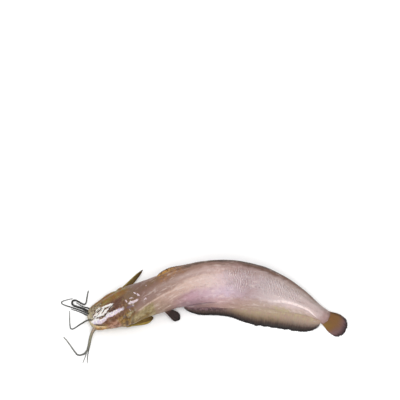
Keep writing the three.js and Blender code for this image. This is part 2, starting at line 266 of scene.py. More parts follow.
def place_skin(u, v):
    s = stations[round(u * (len(stations) - 1))]
    angle = 2 * math.pi * v
    close = rounding(s, SNOUT_ROUNDING) * rounding(FLESH_END - s, STUMP_ROUNDING)
    y, z = section(s, angle)
    tilt = math.degrees(math.asin(min(max(math.sin(angle), -1), 1)))
    return Vector((s, y * close, z * close)), Vector((s, tilt, 0))


body = rolled("fish_body", len(stations) - 1, SKIN_SIDES, place_skin)
shape = bmesh.new()
shape.from_mesh(body.data)
chart = shape.verts.layers.float_vector["chart"]
straight = shape.verts.layers.float_vector.new("straight")
shape.normal_update()
lifts = []
for vert in shape.verts:
    s, tilt, _ = vert[chart]
    out = head_relief(*vert.co, tilt) * (1 - ease(s, 78, 92)) + trunk_relief(*vert.co, tilt)
    lifts.append(vert.co + vert.normal * out)
for vert, co in zip(shape.verts, lifts):
    vert[straight] = co * 0.001
    vert.co = press(lay(*co))
shape.to_mesh(body.data)
shape.free()


class Shade:
    """A socket in a material's nodes. Sums written on shades add Math nodes."""

    def __init__(self, tree, socket=None):
        self.tree, self.socket = tree, socket

    def node(self, kind, inputs=(), output=0, stops=(), **settings):
        made = self.tree.nodes.new("ShaderNode" + kind)
        for name, value in settings.items():
            setattr(made, name, value)
        for place, colour in stops:
            first = len(stops) and place == stops[0][0]
            stop = made.color_ramp.elements[0] if first else made.color_ramp.elements.new(place)
            stop.position, stop.color = place, colour
        for name, value in dict(inputs).items():
            if isinstance(value, Shade):
                self.tree.links.new(value.socket, made.inputs[name])
            else:
                made.inputs[name].default_value = value
        if isinstance(output, tuple):
            return [Shade(self.tree, made.outputs[k]) for k in output]
        return Shade(self.tree, made.outputs[output]) if made.outputs else None

    def maths(self, operation, first, second):
        return self.node("Math", {0: first, 1: second}, operation=operation)

    def __add__(self, other):
        return self.maths("ADD", self, other)

    def __sub__(self, other):
        return self.maths("SUBTRACT", self, other)

    def __rsub__(self, other):
        return self.maths("SUBTRACT", other, self)

    def __mul__(self, other):
        return self.maths("MULTIPLY", self, other)

    __radd__, __rmul__ = __add__, __mul__

    def most(self, other):
        return self.maths("MAXIMUM", self, other)

    def sine(self):
        return self.maths("SINE", self, 0)

    def ease(self, start, end):
        """0 before start and 1 after end, or the other way round where start is the larger."""
        ends = {"Value": self, "From Min": start, "From Max": end}
        return self.node("MapRange", ends, interpolation_type="SMOOTHSTEP")

    def over(self, under, top, blend="MIX"):
        """Colour `top` laid over `under` as far as this mask says."""
        inputs = {0: self, 6: under, 7: top}
        return self.node("Mix", inputs, output=2, data_type="RGBA", blend_type=blend)


LAMP_LIFT = 1.14


def tone(code):
    """The paint that shows under the studio lamps as the colour written in six hex digits."""
    parts = [int(code[k:k + 2], 16) / 255 for k in (0, 2, 4)]
    return (*[((c + 0.055) / 1.055) ** 2.4 / LAMP_LIFT for c in parts], 1)


def new_material(name):
    material = bpy.data.materials.new(name)
    material.use_nodes = True
    material.node_tree.nodes.clear()
    return material, Shade(material.node_tree)


def finish_material(shade, **sockets):
    surface = shade.node("BsdfPrincipled", {k.replace("_", " "): v for k, v in sockets.items()})
    shade.node("OutputMaterial", {"Surface": surface})


def grain(shade, vector, scale, detail=3, rough=0.55, stretch=(1, 1, 1)):
    moved = shade.node("VectorMath", {0: vector, 1: stretch}, operation="MULTIPLY")
    inputs = {"Vector": moved, "Scale": scale, "Detail": detail, "Roughness": rough}
    return shade.node("TexNoise", inputs)


wet_skin, shade = new_material("wet catfish skin")
fish_place = shade.node("Attribute", attribute_name="straight", output=1)
chart_place = shade.node("Attribute", attribute_name="chart", output=1)
s_plain, tilt_plain = shade.node("SeparateXYZ", {0: chart_place}, output=(0, 1))
y_plain = shade.node("SeparateXYZ", {0: fish_place}, output=1) * 1000
broad = grain(shade, fish_place, 55, 3)
blotch = grain(shade, fish_place, 130, 4)
fine = grain(shade, fish_place, 420, 4, 0.6)
warp = grain(shade, fish_place, 240, 4, 0.6)
s = s_plain + (broad - 0.5) * 14 + (blotch - 0.5) * 8
tilt = tilt_plain + (grain(shade, fish_place, 70, 3) - 0.5) * 34 + (blotch - 0.5) * 14
s_head = s_plain + (blotch - 0.5) * 10 + (warp - 0.5) * 9
tilt_head = tilt_plain + (broad - 0.5) * 14 + (warp - 0.5) * 26
y_head = y_plain + (blotch - 0.5) * 5 + (warp - 0.5) * 6
frayed = grain(shade, fish_place, 380, 3)
top_plane = shade.node("CombineXYZ", {
    0: s_plain + (warp - 0.5) * 7, 1: y_plain + (frayed - 0.5) * 4 + (blotch - 0.5) * 3,
})
chart_plane = shade.node("CombineXYZ", {
    0: s_plain + (blotch - 0.5) * 6, 1: tilt_plain + (warp - 0.5) * 10,
})


def zone(front, rear, low, high, blur=6, spread=10):
    """Mask of the trunk's skin between two stations and two tilts, with soft uneven edges."""
    lengthwise = s.ease(front - blur, front + blur) * s.ease(rear + blur, rear - blur)
    return lengthwise * tilt.ease(low - spread, low + spread) * tilt.ease(high + spread, high - spread)


def patch(front, rear, low, high, blur=2.5, spread=5):
    """The same on the head, where edges are sharper and more ragged."""
    lengthwise = s_head.ease(front - blur, front + blur) * s_head.ease(rear + blur, rear - blur)
    across = tilt_head.ease(low - spread, low + spread) * tilt_head.ease(high + spread, high - spread)
    return lengthwise * across


def streaks(plane, *strokes):
    """Mask of tapered strokes on a plane, each with its two ends and half its width."""
    masks = []
    for s0, across0, s1, across1, width in strokes:
        middle = ((s0 + s1) / 2, (across0 + across1) / 2, 0)
        turn = math.atan2(across1 - across0, s1 - s0)
        half = math.dist((s0, across0), (s1, across1)) / 2 + width / 2
        fitted = {0: plane, 1: middle, 2: (0, 0, turn), 3: (half, width, 1)}
        fitted = shade.node("Mapping", fitted, vector_type="TEXTURE")
        reach = shade.node("VectorMath", {0: fitted}, operation="LENGTH", output=1)
        masks.append(reach.ease(1.2, 0.75))
    mask = masks[0]
    for stroke in masks[1:]:
        mask = mask.most(stroke)
    return mask


def along(*stops):
    """Colour along the fish, from pairs of station and tone."""
    ramp = [(station / FISH_LENGTH, tone(code)) for station, code in stops]
    return shade.node("ValToRGB", {"Fac": s * (1 / FISH_LENGTH)}, stops=ramp)


def climb(low, high, above):
    """Lays `above` over the colour from one tilt to a higher one."""
    return tilt.ease(low, high).over(colour, above)


# Trunk: seven bands from the belly to the ridge of the back, each changing along the fish. Besides the
# skin's own colours, with a darker back, they hold painted shade towards the ridge and the belly and a
# painted sheen over the middle of the flank.
colour = along((110, "8a6c62"), (150, "80646a"), (170, "8f7370"), (200, "b08f88"), (240, "ad9284"),
               (300, "af9e86"), (350, "ae9a8e"))
colour = climb(-78, -52, along((85, "7f6a48"), (115, "84675c"), (150, "8b6c74"), (170, "a07f86"),
                               (200, "bb9b9c"), (230, "ad9088"), (270, "b19a90"), (350, "bba59c")))
colour = climb(-48, -24, along((85, "897259"), (115, "967a6c"), (150, "b08c95"), (190, "c4aab2"),
                               (212, "c6aebb"), (245, "aa9194"), (270, "bcaaaa"), (310, "cdb9b8"),
                               (350, "c8b3b0")))
colour = climb(-16, 6, along((85, "917863"), (115, "ab8e82"), (150, "c4a89d"), (190, "d0b8b3"),
                             (210, "cab0b4"), (240, "ae9597"), (262, "b3a0a2"), (300, "c0adab"),
                             (350, "b7a3a0")))
colour = climb(20, 36, along((85, "83665d"), (130, "96796d"), (170, "ad9189"), (200, "bda09a"),
                             (228, "987b76"), (270, "a99592"), (310, "a5938d"), (350, "a2928e")))
colour = climb(46, 64, along((85, "7e5f55"), (130, "8d6852"), (170, "937263"), (210, "85685d"),
                             (240, "614539"), (290, "75594d"), (340, "826c62")))
colour = climb(68, 84, along((85, "785b4c"), (112, "7e5e3e"), (130, "7c5230"), (160, "5c4233"),
                             (230, "412d26"), (340, "564238")))
colour = (zone(72, 135, 52, 122, 10, 10) * blotch.ease(0.45, 0.7) * 0.5).over(colour, tone("76534a"))
colour = (zone(112, 152, 62, 104, 6, 8) * warp.ease(0.42, 0.62) * 0.7).over(colour, tone("a5733f"))
behind = s_plain.ease(70, 90)
threads = grain(shade, fish_place, 260, 4, 0.6, (0.22, 1, 1))
colour = (behind * threads.ease(0.54, 0.72) * 0.35).over(colour, tone("ead8d0"))
colour = (behind * threads.ease(0.46, 0.28) * 0.3).over(colour, tone("86655f"))

# Painted shade in the crease over the belly fin, the lateral line, and a painted highlight along the
# fold of the rear flank.
# Painted shade: a dark line where shade falls in the crease over the belly fin.
crease = streaks(chart_plane, (137, -66, 190, -58, 5))
colour = (crease * 0.55).over(colour, tone("5a434a"))
lateral_rise = tilt_plain - 24 - (broad - 0.5) * 6
lateral_rise = lateral_rise + s_plain.ease(90, 135) * 5 - s_plain.ease(135, 170) * 8
lateral = lateral_rise.ease(-5, -1) * lateral_rise.ease(5, 1)
lateral = lateral * s_plain.ease(64, 74) * s_plain.ease(215, 150)
colour = (lateral * fine.ease(0.25, 0.55) * 0.75).over(colour, tone("ccb0a4"))
# Painted highlight: a near-white line where light glints along the fold of the rear flank.
fold_tilt = tilt_plain - s_plain.ease(250, 322) * 22 + s_plain.ease(336, 368) * 40
fold_highlight = fold_tilt.ease(-46, -41) * fold_tilt.ease(-30, -36) * s_plain.ease(258, 312)
colour = (zone(286, 314, -72, -44, 5, 8) * blotch.ease(0.4, 0.6) * 0.6).over(colour, tone("b3a67a"))
colour = (fold_highlight * warp.ease(0.3, 0.52) * 0.9).over(colour, tone("f0dedb"))
stump = tilt.ease(10, 50).over(tone("8f6b67"), tone("74524a"))
colour = (s.ease(346, 366) * 0.85).over(colour, stump)

# Head: brown skull, reddish cheek, golden jaw and gill cover, olive shoulder, pale speckled snout.
head = s_head.ease(74, 60)
skull = warp.ease(0.35, 0.7).over(tone("64412a"), tone("85602f"))
skull = blotch.ease(0.5, 0.7).over(skull, tone("7d6e34"))
colour = (head * tilt_head.ease(-40, -20)).over(colour, skull)
colour = (patch(56, 76, 50, 130, 5, 8) * 0.75).over(colour, tone("755c46"))
crown = warp.ease(0.5, 0.62).over(tone("553020"), tone("8a5a48"))
colour = (patch(30, 54, 60, 100, 4, 6) * y_head.ease(-8, -3) * 0.85).over(colour, crown)
temple = warp.ease(0.45, 0.6).over(tone("5c3620"), tone("7b5440"))
colour = (patch(17, 53, 28, 58, 3, 5) * 0.85).over(colour, temple)
cheek = warp.ease(0.42, 0.62).over(tone("70442c"), tone("a67c68"))
colour = (patch(24, 50, -8, 32, 3, 6) * 0.9).over(colour, cheek)
gold = warp.ease(0.42, 0.62).over(tone("54380f"), tone("92702c"))
colour = (patch(41, 58, -24, 42, 2.5, 7) * 0.9).over(colour, gold)
olive = blotch.ease(0.4, 0.6).over(tone("80704e"), tone("998960"))
colour = (patch(57, 94, -70, 18, 3, 8) * 0.85).over(colour, olive)
fin_root = warp.ease(0.4, 0.6).over(tone("5e4315"), tone("80652a"))
colour = (patch(56, 86, -70, -3, 4, 7) * 0.85).over(colour, fin_root)
jaw = warp.ease(0.4, 0.6).over(tone("573a14"), tone("93702f"))
colour = (patch(6, 58, -60, -3, 4, 5) * 0.9).over(colour, jaw)
colour = (s_plain.ease(56, 46) * tilt_plain.ease(-48, -62)).over(colour, tone("c2b294"))
far_side = head * y_head.ease(-5, -11) * tilt_plain.ease(-30, 0)
far_tone = warp.ease(0.42, 0.6).over(tone("7d5a28"), tone("8f5f30"))
far_tone = blotch.ease(0.46, 0.6).over(far_tone, tone("857636"))
colour = (far_side * 0.9).over(colour, far_tone)
snout_top = s_head.ease(25, 19) * y_head.ease(1.5, -1.5) * y_head.ease(-18, -12)
snout_top = snout_top * tilt_plain.ease(20, 40)
speckles = frayed.ease(0.42, 0.6).over(tone("4f3f2a"), tone("b5a488"))
colour = (snout_top * 0.8).over(colour, speckles)
lip = s_head.ease(26, 18) * tilt_head.ease(26, 16) * tilt_head.ease(-30, -18)
colour = lip.over(colour, warp.ease(0.45, 0.6).over(tone("85602c"), tone("b88c50")))
snout_tip = warp.ease(0.4, 0.6).over(tone("a89a72"), tone("c4b8a0"))
colour = (s_head.ease(9, 4) * 0.85).over(colour, snout_tip)
# Painted highlight: a cream streak where light catches the upper lip.
colour = (streaks(chart_plane, (5, 22, 20, 6, 5)) * 0.8).over(colour, tone("d2b78e"))
# Painted shade: a dark line in the groove above the upper lip.
colour = (streaks(chart_plane, (5, 39, 19, 19, 3.2)) * 0.85).over(colour, tone("352012"))
# Painted shade: a dark band under the free rear edge of the gill cover.
gill_edge = s_plain - 61.5 - (tilt_plain - 30) * 0.16
gill_gap_shade = gill_edge.ease(-2, 1.2) * gill_edge.ease(6, 2) * tilt_plain.ease(52, 34)
colour = (gill_gap_shade * 0.4).over(colour, tone("4a3214"))
# Painted shade: a dark band in the crease round the cheek muscle.
cheek_crease_shade = (s_plain - 49.5).ease(-3.5, -0.6) * (s_plain - 49.5).ease(4.5, 0.8) * tilt_plain.ease(46, 34)
colour = (cheek_crease_shade * tilt_plain.ease(-30, -12) * 0.4).over(colour, tone("3d230e"))

# Painted highlight: the lamp's glare on the wet skull is painted whitish in strokes over the left half
# of the skull, with painted dark reflection in the gaps between them, and in a few painted glints on the
# nape.
glare_streaks = streaks(
    top_plane, (5, 7, 23, -4.6, 2.2), (5, 2, 20, -8, 0.9), (18, -4.6, 39, -1.6, 1.7),
    (15, 6, 28, -3.5, 1.3), (9, 8, 36, 3, 2.6), (24, 7, 37, -0.5, 1.3), (7, 11, 22, 4, 3),
    (2, 10, 19, 18, 3.6), (13, 9.5, 31, 9.5, 1.8), (14, 18.5, 29, 13.4, 3), (23, 13.4, 49.5, 15.6, 3.6),
)
glare_gaps = streaks(
    top_plane, (13.5, 0.4, 23, -4.4, 1.3), (20, 5.2, 29.5, -1.2, 1.2), (28, 6.8, 38, 1, 1.5),
    (4, 3.6, 13, -3.4, 0.9), (3, 7.6, 11, 4.2, 0.8), (10, 8.2, 22, 10.8, 1.0), (20, 12, 27.5, 8.6, 1.4),
    (29, 9.6, 41, 8.6, 1.5),
)
nape_glints = streaks(
    top_plane, (60, 12.8, 74, 15.2, 2.2), (56.8, 4.5, 58.8, 9, 0.8), (75, 5.5, 78, 11.5, 1.0),
    (73, 0.5, 74.5, 4, 0.6), (64, 6.5, 70, 8.5, 0.5), (83, 20.5, 86, 20.8, 0.8), (92, 2, 94, 4, 0.6),
)
above = tilt_plain.ease(26, 42)
glare_streaks = glare_streaks * (1 - glare_gaps) * above
# Painted highlight: near-white glare, lilac towards the skull's rim.
glare_tone = (y_head.ease(9, 14) * frayed.ease(0.62, 0.42)).over(tone("f6f2ee"), tone("cfc2dc"))
glare_tone = (y_head.ease(14, 18) * 0.5).over(glare_tone, tone("e2c8cc"))
# Painted dark reflection in the gaps between the glare strokes, then the painted glare and the nape's
# painted glints.
colour = (glare_gaps * above * 0.8).over(colour, tone("341f13"))
colour = (glare_streaks * 0.92).over(colour, glare_tone)
colour = (nape_glints * above * 0.85).over(colour, tone("e2cfd6"))
colour = (streaks(top_plane, (56, 17.5, 66, 19.5, 1.6)) * 0.5).over(colour, tone("6b5570"))

# Fine pigment and small dark freckles.
colour = (fine.ease(0.5, 0.8) * 0.3).over(colour, tone("8a6c60"), "MULTIPLY")
colour = (blotch.ease(0.55, 0.8) * 0.2).over(colour, tone("efe3dc"), "SCREEN")
freckles = shade.node("TexVoronoi", {"Vector": fish_place, "Scale": 210, "Randomness": 1})
freckled = freckles.ease(0.22, 0.1) * grain(shade, fish_place, 38, 2).ease(0.5, 0.7)
colour = (freckled * tilt_plain.ease(-30, 10) * 0.4).over(colour, tone("6b4f42"))

# Muscle segments wrinkle the skin crosswise, and the skull is grained like wet bone. The wrinkles'
# crests carry a painted highlight and their hollows painted shade.
bend = (tilt_plain * 0.02).sine()
wrinkle_phase = s_plain * 2.9 + bend * 9 + (broad - 0.5) * 26 + (blotch - 0.5) * 9
wrinkled = zone(206, 250, -16, 44, 8, 12) + zone(258, 322, -10, 40, 8, 12)
wrinkles = wrinkle_phase.sine() * wrinkled * fine.ease(0.3, 0.55)
# Painted highlight on the wrinkles' crests and painted shade in their hollows.
colour = (wrinkles.ease(0.1, 0.8) * 0.5).over(colour, tone("f1e4e2"))
colour = (wrinkles.ease(-0.1, -0.8) * 0.4).over(colour, tone("8c7279"))
segments = (s_plain * 0.82 + bend * 14 + (broad - 0.5) * 5).sine() * s_plain.ease(70, 110)
skull_zone = s_plain.ease(74, 58) * tilt_plain.ease(38, 52)
turned = {"Vector": fish_place, "Angle": math.radians(28)}
slant = shade.node("VectorRotate", turned, rotation_type="Z_AXIS")
bony = grain(shade, slant, 170, 3, 0.5, (0.45, 1.2, 1))
pores = grain(shade, fish_place, 900, 2)
height = wrinkles * 0.4 + segments * 0.06 + bony * skull_zone * 1.6 + pores * 0.10 + fine * 0.22
height = height + blotch * (1 - skull_zone) * 0.35 + lateral * 0.25 + glare_streaks * 0.35
skin_bump = shade.node("Bump", {"Strength": 0.8, "Distance": 0.001, "Height": height})
gloss = blotch.ease(0.35, 0.7) * 0.14 + 0.42 - head * 0.12
wetness = head * (1 - far_side) * 0.5 + nape_glints * 0.3 + 0.04
finish_material(
    shade, Base_Color=colour, Roughness=gloss, Normal=skin_bump, Specular_IOR_Level=0.22,
    Subsurface_Weight=0.1, Subsurface_Radius=(1.0, 0.45, 0.3), Subsurface_Scale=0.002,
    Coat_Weight=wetness, Coat_Roughness=0.1, Coat_IOR=1.38,
)
body.data.materials.append(wet_skin)
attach(body, "root")
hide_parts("body")

# ---- Eyes ----------------------------------------------------------------------------------------
# Small clear domes sunk in the rim of the flat skull: a round dark pupil in a thin golden iris.
eye_surface, shade = new_material("fish eye")
gaze = shade.node("Attribute", attribute_name="gaze", output=2)
speck = grain(shade, shade.node("TexCoord", output=3), 1500, 3)
colour = gaze.ease(0.5, 0.62).over(tone("4b3a26"), tone("a07f36"))
colour = (speck.ease(0.4, 0.7) * 0.5).over(colour, tone("5c4420"))
colour = gaze.ease(0.77, 0.8).over(colour, tone("0b0a09"))
finish_material(shade, Base_Color=colour, Roughness=0.18, Coat_Weight=1.0, Coat_Roughness=0.03, IOR=1.4)
for side, name in ((1, "left_eye"), (-1, "right_eye")):
    middle = lay(EYE_AT, side * eye_y, eye_z)
    outward = (lay(EYE_AT, side * eye_y * 1.15, eye_z + 6) - middle).normalized()
    shape = bmesh.new()
    gazes = shape.verts.layers.float.new("gaze")
    bmesh.ops.create_uvsphere(shape, u_segments=32, v_segments=24, radius=0.001 * EYE_RADIUS)
    for vert in shape.verts:
        facing = vert.co.normalized().dot(outward)
        vert[gazes] = facing
        vert.co = middle + vert.co * (1 + 0.06 * ease(facing, 0.6, 1))
    for face in shape.faces:
        face.smooth = True
    mesh = bpy.data.meshes.new(name)
    shape.to_mesh(mesh)
    shape.free()
    eye = bpy.data.objects.new("fish_" + name, mesh)
    bpy.context.collection.objects.link(eye)
    eye.data.materials.append(eye_surface)
    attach(eye, "root")
    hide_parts(name)

# ---- Fins along the back and the belly -----------------------------------------------------------
# Thin skin over many soft rays, fleshy at the root and almost black at the rim. The back fin is
# limp and has folded over to the right; the belly fin trails over the surface.


def fin_material(name, paint, ray, rim, rays_seen=0.4, rim_share=0.86):
    """Skin over rays. The piece's chart holds ray number, height over the root and a third number,
    and paint(rise, third, mottle) gives the colour between the rays."""
    material, shade = new_material(name)
    fin_place = shade.node("Attribute", attribute_name="chart", output=1)
    count, rise, third = shade.node("SeparateXYZ", {0: fin_place}, output=(0, 1, 2))
    flat = shade.node("CombineXYZ", {0: count * 0.35, 1: rise * 2.2, 2: 0})
    mottle = grain(shade, flat, 2.2, 4)
    fibre = grain(shade, shade.node("CombineXYZ", {0: count * 2.4, 1: rise * 1.2, 2: 0}), 3, 3)
    edge = rise + (mottle - 0.5) * 0.2
    ridge = (count * (2 * math.pi)).sine()
    colour = paint(edge, third, mottle)
    colour = (ridge.ease(-0.1, 0.9) * rays_seen * rise.ease(1.0, 0.6)).over(colour, tone(ray))
    colour = (fibre.ease(0.5, 0.8) * 0.25).over(colour, tone(rim))
    colour = edge.ease(rim_share - 0.16, rim_share + 0.1).over(colour, tone(rim))
    height = ridge * (0.7 * rays_seen) + fibre * 0.35 + mottle * 0.2
    ripple = shade.node("Bump", {"Strength": 0.6, "Distance": 0.0006, "Height": height})
    finish_material(
        shade, Base_Color=colour, Roughness=mottle * 0.2 + 0.4, Normal=ripple, Coat_Weight=0.03,
        Coat_Roughness=0.15, Specular_IOR_Level=0.1, Subsurface_Weight=0.08, Subsurface_Scale=0.001,
    )
    return material


def blade(name, steps, around, place):
    """Closed thin fin. place(u, h, face) gives the point on one face (1 or -1, or 0 at the rim and
    at the root line) at u across the rays and h from root to rim."""
    def place_round(u, v):
        rise = 1 - abs(2 * v - 1)
        face = 0 if min(v, 1 - v, abs(v - 0.5)) < 1e-6 else math.copysign(1, 0.5 - v)
        return place(u, rise, face)

    return rolled(name, steps, around, place_round)


STEPS_PER_RAY, LONG_FIN_SIDES = 8, 22


def long_fin(name, start, end, pitch, root_at, rim_at, rake, thin, fleshy):
    """A fin along s with one ray each pitch. root_at and rim_at give y and z at a station; rake
    trails the rim behind the root, and fleshy thickens the root."""
    def place(u, rise, face):
        s = between(start, end, u)
        count = (s - start) / pitch
        ray = (0.5 + 0.5 * math.sin(2 * math.pi * count)) ** 2
        root, rim = Vector(root_at(s)), Vector(rim_at(s))
        span = rim - root
        reach = span * (1 - 0.035 * (1 - ray) * ease(rise, 0.5, 1))
        reach *= 1 + 0.05 * noise.noise(Vector((s / 7, 3.1, 0)))
        side = Vector((-span.y, span.x)).normalized()
        wave = 0.9 * rise * noise.noise(Vector((s / 17, rise, 7.7)))
        thick = thin * (0.85 + 0.35 * ray * (1 - 0.5 * rise)) * (1 - 0.45 * rise)
        thick += fleshy * (1 - ease(rise, 0, 0.42)) ** 2
        point = root + reach * rise + side * (wave + 0.5 * face * thick)
        trail = rake * reach.length * rise
        chart = Vector((count, rise, s))
        return press(lay(s + trail, *point), height=0.00025), chart

    steps = round((end - start) / pitch * STEPS_PER_RAY)
    return blade(name, steps, LONG_FIN_SIDES, place)


def fin_height(s, start, end, height, rise, lobe):
    return height * rounding(s - start + 1, rise) * rounding(end - s + 1, lobe)


DORSAL_FROM, DORSAL_TO, DORSAL_HEIGHT, DORSAL_PITCH = 112, 354, 12.5, 3.6


def dorsal_root(s):
    return 0, follow(GIRTH, 2, s) - 3


def dorsal_rim(s):
    folded = between(64, 84, ease(s, 112, 157))
    fold = math.radians(between(folded, 96, ease(s, 190, 310)))
    height = 3 + fin_height(s, DORSAL_FROM, DORSAL_TO, DORSAL_HEIGHT, 40, 60)
    return -height * math.sin(fold), dorsal_root(s)[1] + 1.5 + height * math.cos(fold)


back_fin = long_fin(
    "back_fin", DORSAL_FROM, DORSAL_TO, DORSAL_PITCH, dorsal_root, dorsal_rim,
    rake=0.2, thin=1.1, fleshy=3,
)


def paint_back_fin(rise, s, mottle):
    golden = mottle.ease(0.52, 0.6).over(tone("b88a4e"), tone("5a3a20"))
    brown = s.ease(160, 260).over(tone("8d6a55"), tone("7d675f"))
    return s.ease(128, 146).over(golden, brown)


back_fin_skin = fin_material("back fin skin", paint_back_fin, "9b7a60", "45332c", 0.3, 0.9)
back_fin.data.materials.append(back_fin_skin)
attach(back_fin, "root")
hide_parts("dorsal_fin")

ANAL_FROM, ANAL_TO, ANAL_PITCH = 139, 363, 4.0


def anal_root(s):
    return 0, 3 - follow(GIRTH, 3, s)


def anal_rim(s):
    full = between(16.5, 25.2, ease(s, 204, 262))
    return 1.5, anal_root(s)[1] - 3 - fin_height(s, ANAL_FROM, ANAL_TO, full, 34, 36)


belly_fin = long_fin(
    "belly_fin", ANAL_FROM, ANAL_TO, ANAL_PITCH, anal_root, anal_rim,
    rake=0.2, thin=1.1, fleshy=8,
)


def paint_belly_fin(rise, s, mottle):
    mauve = mottle.ease(0.4, 0.62).over(tone("74575a"), tone("98797a"))
    straw = mottle.ease(0.4, 0.62).over(tone("a98f80"), tone("b09f82"))
    root = s.ease(195, 240).over(mauve, straw)
    dark_web = mottle.ease(0.42, 0.6).over(tone("4c373a"), tone("80646a"))
    web = s.ease(190, 235).over(dark_web, tone("857059"))
    web = s.ease(285, 330).over(web, tone("8e7a6e"))
    shaded = rise.ease(0.16, 0.6).over(root, web)
    shaded = rise.ease(0.42, 0.78).over(shaded, tone("463630"))
    return rise.ease(0.66, 0.94).over(shaded, tone("1c1310"))


belly_fin_skin = fin_material("belly fin skin", paint_belly_fin, "94806f", "1c1516", 0.06, 0.94)
belly_fin.data.materials.append(belly_fin_skin)
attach(belly_fin, "root")
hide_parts("anal_fin")

# ---- Tail fin ------------------------------------------------------------------------------------
# A rounded fan of branched rays that starts fleshy and pink at the stump and turns brown, then
# mauve grey, with a dark and slightly frayed rim.
TAIL_FROM, TAIL_TO, TAIL_HALF, TAIL_ROOT_HALF = 361, 402, 16, 10
TAIL_TIP_ROUNDING, TAIL_LEAN = 12.5, 2.2
TAIL_RAYS, TAIL_STEPS, TAIL_SIDES = 20, 160, 60


def place_tail(u, rise, face):
    across = 2 * u - 1
    end = TAIL_TO - 0.4 - TAIL_TIP_ROUNDING * (1 - math.sqrt(1 - abs(across) ** 2.2))
    end -= 0.9 * ease(noise.noise(Vector((across * 7, 0.3, 2))), 0.1, 0.5)
    s = between(TAIL_FROM, end, rise)
    spread = ease((s - TAIL_FROM) / (TAIL_TO - TAIL_FROM), 0, 0.55)
    half = between(TAIL_ROOT_HALF, TAIL_HALF, spread)
    ray = (0.5 + 0.5 * math.sin(2 * math.pi * TAIL_RAYS * u)) ** 2
    thick = (0.9 + 0.6 * ray) * (1 - 0.5 * rise) + 4 * (1 - ease(rise, 0, 0.3)) ** 2
    thick *= 1 - 0.75 * abs(across) ** 6
    wave = 0.8 * rise * noise.noise(Vector((across * 1.6, rise * 2, 5)))
    chart = Vector((TAIL_RAYS * u, rise, across))
    lean = TAIL_LEAN * across * (s - TAIL_FROM) / (TAIL_TO - TAIL_FROM)
    point = lay(s - lean, wave + 0.5 * face * thick, across * half)
    return press(point, height=0.00025), chart


tail_fin = blade("tail_fin", TAIL_STEPS, TAIL_SIDES, place_tail)


def paint_tail(rise, across, mottle):
    web = rise.ease(0.5, 0.9).over(tone("7a5530"), tone("6a4f52"))
    web = (across.ease(0.1, -0.7) * rise.ease(0.5, 0.8)).over(web, tone("725658"))
    web = (across.ease(0.1, -0.7) * rise.ease(0.6, 0.3) * 0.7).over(web, tone("84682f"))
    web = (mottle.ease(0.5, 0.7) * 0.4).over(web, tone("8b5f34"))
    web = (across.ease(0.62, 0.95) * 0.7).over(web, tone("33241c"))
    return rise.ease(0.08, 0.3).over(tone("96706a"), web)


tail_skin = fin_material("tail fin skin", paint_tail, "86663f", "241a1e", 0.25, 0.92)
tail_fin.data.materials.append(tail_skin)
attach(tail_fin, "root")
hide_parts("caudal_fin")

# ---- Paired fins ---------------------------------------------------------------------------------
# Small paddles of soft rays. Each pectoral has one stout bony spine down its leading edge; the
# left one lies back against the belly, the right one sticks out under the head.
PAIRED = {
    "left_pectoral": dict(
        root=(49, 26, -9), tip=(95.4, 15.4, 9.5), across=(0.1, 0.5, 0.86),
        half=8.4, narrow=0.4, taper=0.35, thick=3.2, spine=-1,
    ),
    "right_pectoral": dict(
        root=(47, -27, -9), tip=(79, 95.3, 2.6), across=(0.79, -0.61, 0.05),
        half=4.3, narrow=1.4, taper=0.8, thick=3.4, spine=-1,
    ),
    "left_pelvic": dict(
        root=(111.5, 8, -23), tip=(134, 16, 1.8), across=(0.46, 0.88, 0),
        half=7.6, narrow=0.55, taper=0.35, thick=2.4, spine=0,
    ),
    "right_pelvic": dict(
        root=(131, -5, -26), tip=(150, 42, 1.7), across=(0.3, 0.95, 0),
        half=4.5, narrow=0.6, taper=0.35, thick=2, spine=0,
    ),
}
PADDLE_RAYS, PADDLE_STEPS, PADDLE_SIDES = 9, 90, 44


def paint_pectoral(rise, span, mottle):
    web = mottle.ease(0.4, 0.6).over(tone("4a300a"), tone("6b4e1c"))
    web = rise.ease(0.6, 1.0).over(web, tone("4c3212"))
    spine = mottle.ease(0.4, 0.6).over(tone("857128"), tone("a08a48"))
    return span.ease(-0.35, -0.7).over(web, spine)


def paint_pelvic(rise, span, mottle):
    web = mottle.ease(0.4, 0.65).over(tone("2f2625"), tone("3e3230"))
    return rise.ease(0.02, 0.4).over(tone("735349"), web)


pectoral_skin = fin_material("pectoral fin skin", paint_pectoral, "a58f4c", "4a3a1a", 0.4, 1.0)
pelvic_skin = fin_material("pelvic fin skin", paint_pelvic, "4e403c", "1d1918", 0.4, 0.95)


